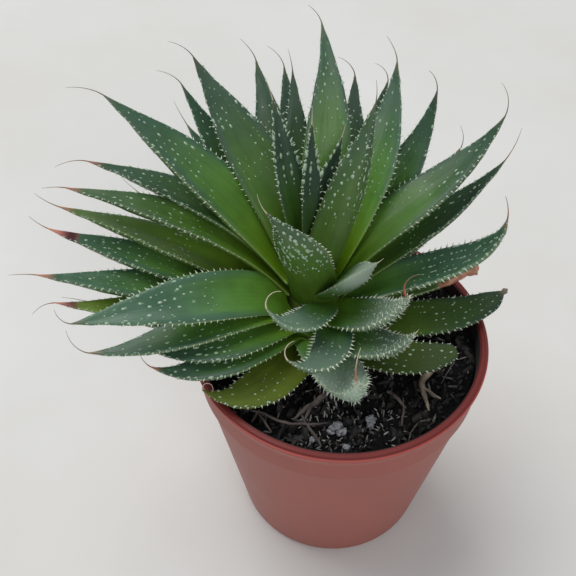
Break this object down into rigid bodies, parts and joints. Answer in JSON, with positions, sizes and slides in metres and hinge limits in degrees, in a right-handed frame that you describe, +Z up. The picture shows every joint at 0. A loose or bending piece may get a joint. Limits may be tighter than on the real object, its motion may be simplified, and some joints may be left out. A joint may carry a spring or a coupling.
{
  "type": "potted aloe",
  "caption": "Rosette of stiff pointed leaves with toothed edges and hair-thin tips, growing from a short stem in a small round tapered plastic nursery pot filled with soil.",
  "frame": {"origin": "middle of the pot's foot, on the surface it stands on", "axes": "+Z up along the pot's axis, -Y towards the viewer of the picture, +X to the viewer's right"},
  "size_m": [0.1393, 0.1113, 0.1549],
  "materials": {
    "pot_plastic": "matte terracotta-red plastic",
    "soil": "dark coarse peat with pale specks",
    "stem": "yellow-green leaf bases round a short stem",
    "leaf": "firm green leaf with white teeth and pale bumps"
  },
  "bodies": {
    "root": {"pot": "pot_plastic", "soil": "soil", "stem": "stem", "leaf_01": "leaf", "leaf_02": "leaf", "leaf_03": "leaf", "leaf_04": "leaf", "leaf_05": "leaf", "leaf_06": "leaf", "leaf_07": "leaf", "leaf_08": "leaf", "leaf_09": "leaf", "leaf_10": "leaf", "leaf_11": "leaf", "leaf_12": "leaf", "leaf_13": "leaf", "leaf_14": "leaf", "leaf_15": "leaf", "leaf_16": "leaf", "leaf_17": "leaf", "leaf_18": "leaf", "leaf_19": "leaf", "leaf_20": "leaf", "leaf_21": "leaf", "leaf_22": "leaf", "leaf_23": "leaf", "leaf_24": "leaf", "leaf_25": "leaf", "leaf_26": "leaf", "leaf_27": "leaf", "leaf_28": "leaf", "leaf_29": "leaf", "leaf_30": "leaf", "leaf_31": "leaf", "leaf_32": "leaf", "leaf_33": "leaf", "leaf_34": "leaf", "leaf_35": "leaf", "leaf_36": "leaf", "leaf_37": "leaf", "leaf_38": "leaf", "leaf_39": "leaf", "leaf_40": "leaf", "leaf_41": "leaf", "leaf_42": "leaf", "leaf_43": "leaf", "leaf_44": "leaf", "leaf_45": "leaf", "leaf_46": "leaf", "leaf_47": "leaf"}
  },
  "joints": []
}
